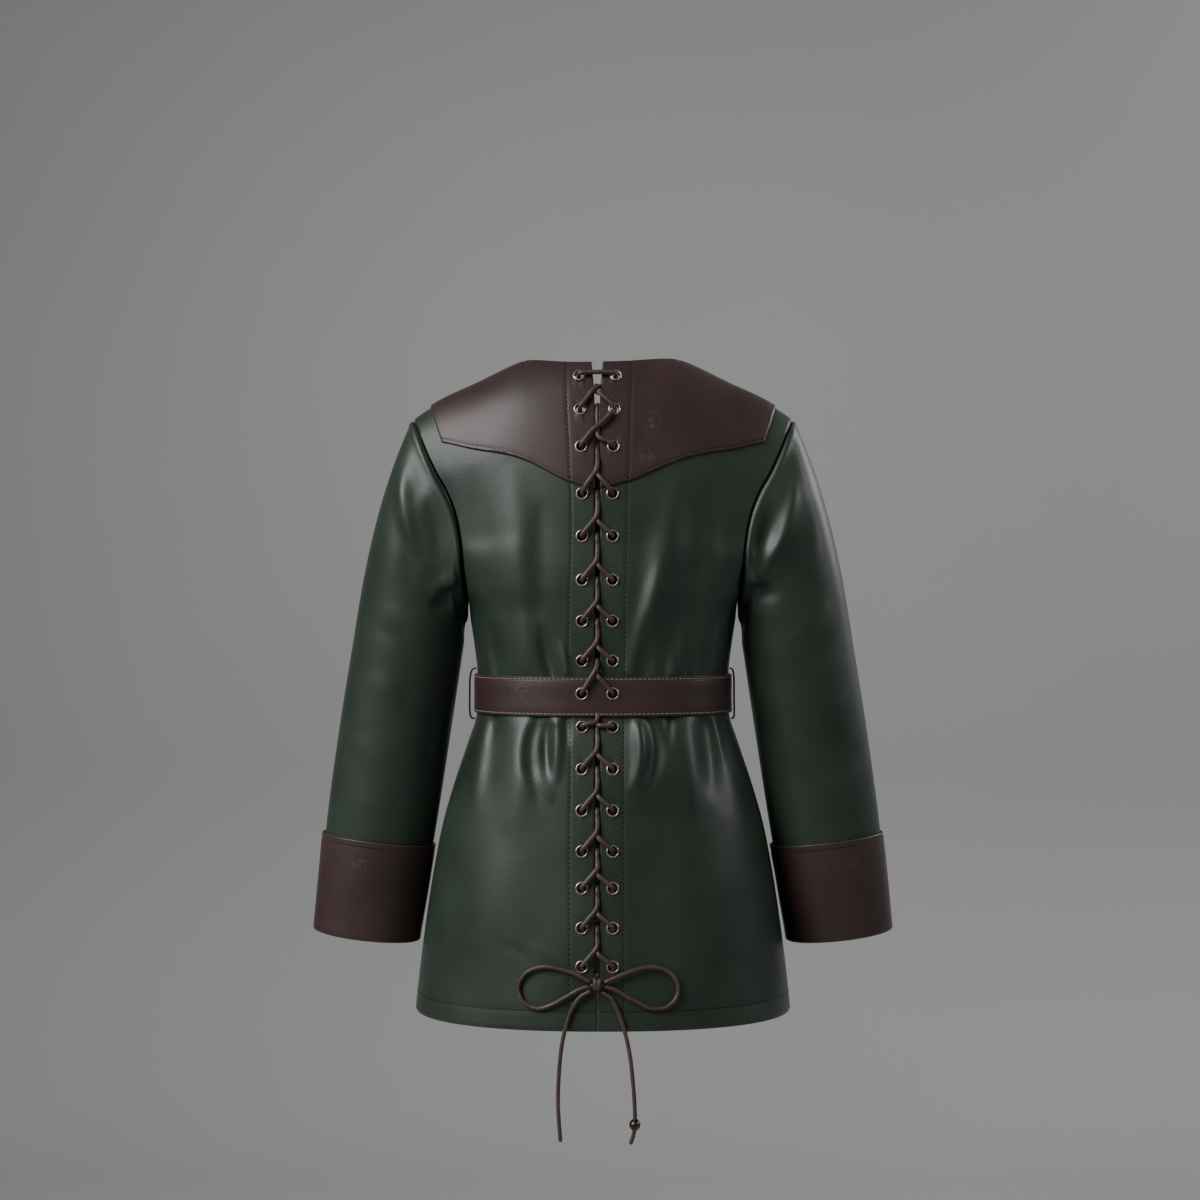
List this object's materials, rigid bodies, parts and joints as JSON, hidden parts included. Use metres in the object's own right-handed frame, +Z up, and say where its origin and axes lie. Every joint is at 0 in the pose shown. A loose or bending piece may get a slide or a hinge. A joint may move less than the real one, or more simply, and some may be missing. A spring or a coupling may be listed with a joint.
{
  "type": "medieval tunic",
  "caption": "Child's long-sleeved costume tunic in green imitation leather with a brown yoke, turned-up cuffs, a stitched belt and a back opening laced to a bow.",
  "frame": {"origin": "level with the neck side points, on the body's middle plane and on its left-right middle, where the wearer's shoulders hold the tunic", "axes": "+Z up from hem to neck, +Y towards the wearer's back with its laced opening, +X towards the wearer's left arm"},
  "size_m": [0.4648, 0.2223, 0.6],
  "materials": {
    "green_leather": "soft satin grain",
    "brown_leather": "soft satin grain",
    "lace_cord": "smooth satin cord",
    "eyelet_metal": "polished, pale copper tone",
    "bead_metal": "dark polished"
  },
  "bodies": {
    "root": {"front_panel": "green_leather", "belt": "brown_leather", "back_panel_left": "green_leather", "yoke_left": "brown_leather", "sleeve_left": "green_leather", "cuff_left": "brown_leather", "belt_loop_left": "brown_leather", "eyelet_01_left": "eyelet_metal", "eyelet_02_left": "eyelet_metal", "eyelet_03_left": "eyelet_metal", "eyelet_04_left": "eyelet_metal", "eyelet_05_left": "eyelet_metal", "eyelet_06_left": "eyelet_metal", "eyelet_07_left": "eyelet_metal", "eyelet_08_left": "eyelet_metal", "eyelet_09_left": "eyelet_metal", "eyelet_10_left": "eyelet_metal", "eyelet_11_left": "eyelet_metal", "eyelet_12_left": "eyelet_metal", "eyelet_13_left": "eyelet_metal", "eyelet_14_left": "eyelet_metal", "eyelet_15_left": "eyelet_metal", "eyelet_16_left": "eyelet_metal", "back_panel_right": "green_leather", "yoke_right": "brown_leather", "sleeve_right": "green_leather", "cuff_right": "brown_leather", "belt_loop_right": "brown_leather", "eyelet_01_right": "eyelet_metal", "eyelet_02_right": "eyelet_metal", "eyelet_03_right": "eyelet_metal", "eyelet_04_right": "eyelet_metal", "eyelet_05_right": "eyelet_metal", "eyelet_06_right": "eyelet_metal", "eyelet_07_right": "eyelet_metal", "eyelet_08_right": "eyelet_metal", "eyelet_09_right": "eyelet_metal", "eyelet_10_right": "eyelet_metal", "eyelet_11_right": "eyelet_metal", "eyelet_12_right": "eyelet_metal", "eyelet_13_right": "eyelet_metal", "eyelet_14_right": "eyelet_metal", "eyelet_15_right": "eyelet_metal", "eyelet_16_right": "eyelet_metal", "lace": "lace_cord", "lace_knot": "lace_cord", "bow_left": "lace_cord", "bow_right": "lace_cord", "tail_left": "lace_cord", "tail_right": "lace_cord", "lace_bead": "bead_metal"}
  },
  "joints": []
}
